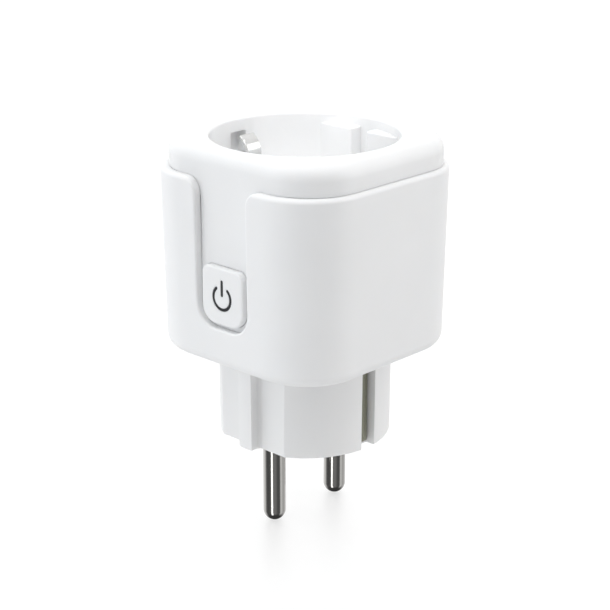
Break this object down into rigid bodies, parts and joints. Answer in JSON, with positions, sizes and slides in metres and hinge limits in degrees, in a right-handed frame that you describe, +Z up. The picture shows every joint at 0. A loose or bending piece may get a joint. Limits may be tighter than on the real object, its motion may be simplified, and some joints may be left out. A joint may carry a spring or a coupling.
{
  "type": "plug-in power meter",
  "caption": "Rounded white plug-in power meter: a round two-pin earthed plug below, a matching socket recess on top, and a raised power button in a slot on the front.",
  "frame": {"origin": "centre of the plug's engagement face, midway between the two pins", "axes": "+Z up, from the plug face towards the socket; -Y is the button side; the pins and the socket's pin holes lie on the Y axis and the earth contacts on the X axis"},
  "size_m": [0.0494, 0.0494, 0.0835],
  "materials": {
    "housing_white": "satin moulded",
    "cover_white": "satin moulded",
    "plug_white": "satin moulded",
    "button_white": "satin moulded",
    "light_guide_grey": "smoked translucent",
    "switch_black": "matte",
    "plunger_black": "matte",
    "board_green": "solder mask",
    "power_board_green": "solder mask",
    "radio_board_blue": "solder mask",
    "led_lens": "clear",
    "header_black": "matte",
    "relay_black": "satin",
    "film_yellow": "satin",
    "can_black": "printed sleeve",
    "ferrite": "matte",
    "varistor_blue": "dipped",
    "fuse_green": "dipped",
    "chip_black": "moulded",
    "shunt_copper": "rolled",
    "shield_tin": "tinned",
    "pin_nickel": "bright nickel plated",
    "contact_brass": "stamped",
    "earth_steel": "tinned",
    "screw_steel": "zinc plated"
  },
  "bodies": {
    "casing": {"outer_housing": "housing_white", "top_cover": "cover_white", "plug_base": "plug_white", "switch_body": "switch_black", "control_board": "board_green", "status_led": "led_lens", "board_header": "header_black", "power_board": "power_board_green", "relay": "relay_black", "film_capacitor": "film_yellow", "bulk_capacitor": "can_black", "output_capacitor": "can_black", "choke": "ferrite", "varistor": "varistor_blue", "fuse_resistor": "fuse_green", "bridge_rectifier": "chip_black", "metering_chip": "chip_black", "supply_chip": "chip_black", "current_shunt": "shunt_copper", "radio_board": "radio_board_blue", "radio_shield": "shield_tin", "live_pin": "pin_nickel", "neutral_pin": "pin_nickel", "live_contact": "contact_brass", "neutral_contact": "contact_brass", "live_strap": "contact_brass", "neutral_strap": "contact_brass", "earth_strip_left": "earth_steel", "earth_strip_right": "earth_steel", "earth_bridge": "earth_steel", "case_screw_1": "screw_steel", "case_screw_2": "screw_steel", "case_screw_3": "screw_steel", "case_screw_4": "screw_steel"},
    "button": {"button_cap": "button_white", "symbol_light_guide": "light_guide_grey"},
    "switch_plunger": {"switch_plunger": "plunger_black"},
    "earth_clip_left": {"earth_clip_left": "earth_steel"},
    "earth_clip_right": {"earth_clip_right": "earth_steel"}
  },
  "joints": [
    {"name": "button_press", "type": "slide", "parent": "casing", "child": "button", "axis": [0, 1, 0], "range_m": [0, 0.00035]},
    {"name": "switch_plunger_travel", "type": "slide", "parent": "casing", "child": "switch_plunger", "axis": [0, 1, 0], "range_m": [0, 0.00035]},
    {"name": "earth_clip_left_flex", "type": "hinge", "parent": "casing", "child": "earth_clip_left", "pos_m": [-0.0203, 0, 0.0444], "axis": [0, -1, 0], "range_deg": [0, 8]},
    {"name": "earth_clip_right_flex", "type": "hinge", "parent": "casing", "child": "earth_clip_right", "pos_m": [0.0203, 0, 0.0444], "axis": [0, 1, 0], "range_deg": [0, 8]}
  ],
  "couplings": [
    {"joint": "switch_plunger_travel", "follows": "button_press", "ratio": 1}
  ]
}
